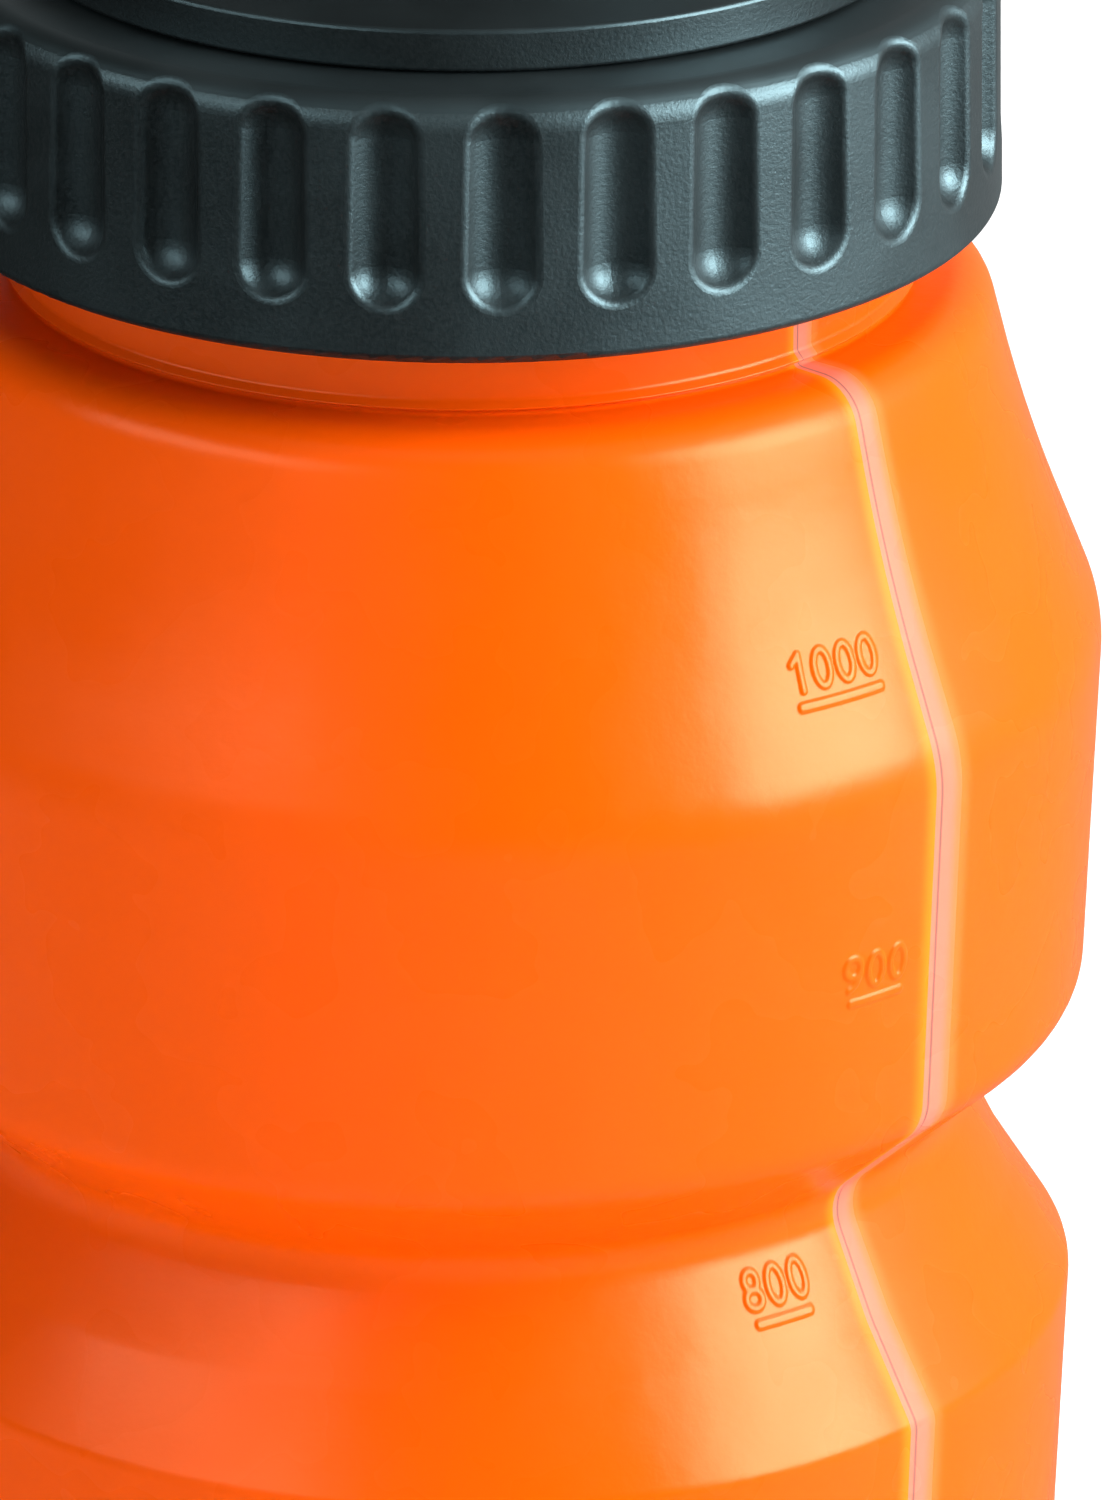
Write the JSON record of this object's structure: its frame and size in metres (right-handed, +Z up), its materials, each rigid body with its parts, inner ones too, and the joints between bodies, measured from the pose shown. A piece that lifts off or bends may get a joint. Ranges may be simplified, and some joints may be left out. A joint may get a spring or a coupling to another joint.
{
  "type": "sports squeeze bottle",
  "caption": "Tall round squeeze bottle with a waisted grip, clear level stripe, fluted screw lid, push-pull drinking valve and push-on dust cover.",
  "frame": {"origin": "centre of the base, on the plane the bottle stands on", "axes": "+Z up along the bottle's axis, -Y out through the clear level stripe"},
  "size_m": [0.083, 0.083, 0.2898],
  "materials": {
    "body_orange": "satin, slightly translucent, fine orange-peel",
    "stripe_clear": "translucent natural polyethylene",
    "lid_slate": "fine spark-eroded grain",
    "silicone_white": "smooth silicone",
    "valve_white": "smooth",
    "seal_rubber": "smooth",
    "nozzle_slate": "satin",
    "mouth_rubber": "soft matte",
    "cover_slate": "smooth satin top, grained rim"
  },
  "bodies": {
    "bottle": {"bottle_body": "body_orange", "view_stripe": "stripe_clear"},
    "sealing_ring": {"lid_gasket": "silicone_white"},
    "lid": {"lid": "lid_slate", "valve_stem": "valve_white", "nozzle_seal": "seal_rubber"},
    "spout": {"nozzle": "nozzle_slate", "mouthpiece": "mouth_rubber"},
    "cover": {"dust_cover": "cover_slate"}
  },
  "joints": [
    {"name": "lid_lift", "type": "slide", "parent": "bottle", "child": "sealing_ring", "axis": [0, 0, 1], "range_m": [0, 0.00631]},
    {"name": "lid_turn", "type": "hinge", "parent": "sealing_ring", "child": "lid", "pos_m": [0, 0, 0.2428], "axis": [0, 0, 1], "range_deg": [0, 540]},
    {"name": "spout_pull", "type": "slide", "parent": "lid", "child": "spout", "axis": [0, 0, 1], "range_m": [0, 0.005]},
    {"name": "dust_cover_lift", "type": "slide", "parent": "lid", "child": "cover", "axis": [0, 0, 1], "range_m": [0, 0.035]}
  ],
  "couplings": [
    {"joint": "lid_lift", "follows": "lid_turn", "m_per_rad": 0.00066845}
  ]
}
